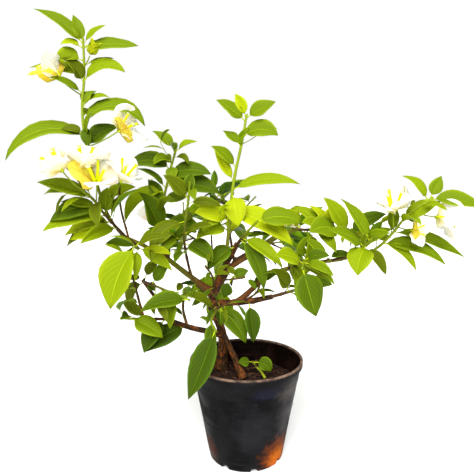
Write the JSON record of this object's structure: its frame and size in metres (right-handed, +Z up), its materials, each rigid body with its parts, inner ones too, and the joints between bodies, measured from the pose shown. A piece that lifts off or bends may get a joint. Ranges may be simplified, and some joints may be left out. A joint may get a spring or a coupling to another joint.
{
  "type": "potted bougainvillea bush",
  "caption": "Small bougainvillea bush in a tapered nursery pot: short leaning trunk, spreading boughs, pointed leaves in clusters and papery white blooms.",
  "frame": {"origin": "centre of the pot's flat underside, on the level surface that the pot stands on", "axes": "+Z up, -Y the front of the plant, +X to the right seen from the front"},
  "size_m": [0.6083, 0.3013, 0.5872],
  "materials": {
    "pot_plastic": "weathered charcoal nursery plastic with dust and rust-coloured stains",
    "potting_soil": "moist dark potting soil with bark and root bits",
    "bark": "red-brown fissured bark",
    "foliage": "satin green leaves, with papery cream-white bracts on some masses"
  },
  "bodies": {
    "root": {"pot": "pot_plastic", "soil": "potting_soil", "trunk": "bark", "front_stem": "bark", "pot_shoot": "bark", "right_low_bough": "bark", "right_mid_bough": "bark", "right_high_bough": "bark", "left_low_bough": "bark", "left_mid_bough": "bark", "left_high_bough": "bark", "left_reach_bough": "bark", "back_bough": "bark", "left_leader": "foliage", "left_cluster": "foliage", "left_hanging": "foliage", "left_centre": "foliage", "left_inner": "foliage", "left_mid": "foliage", "left_low": "foliage", "front_low": "foliage", "centre_leader": "foliage", "centre_crown": "foliage", "right_high": "foliage", "right_mid": "foliage", "right_tip": "foliage", "right_low": "foliage", "right_hanging": "foliage", "pot_leaf": "foliage", "back_right": "foliage", "back_left": "foliage", "back_crown": "foliage", "back_low": "foliage"}
  },
  "joints": []
}
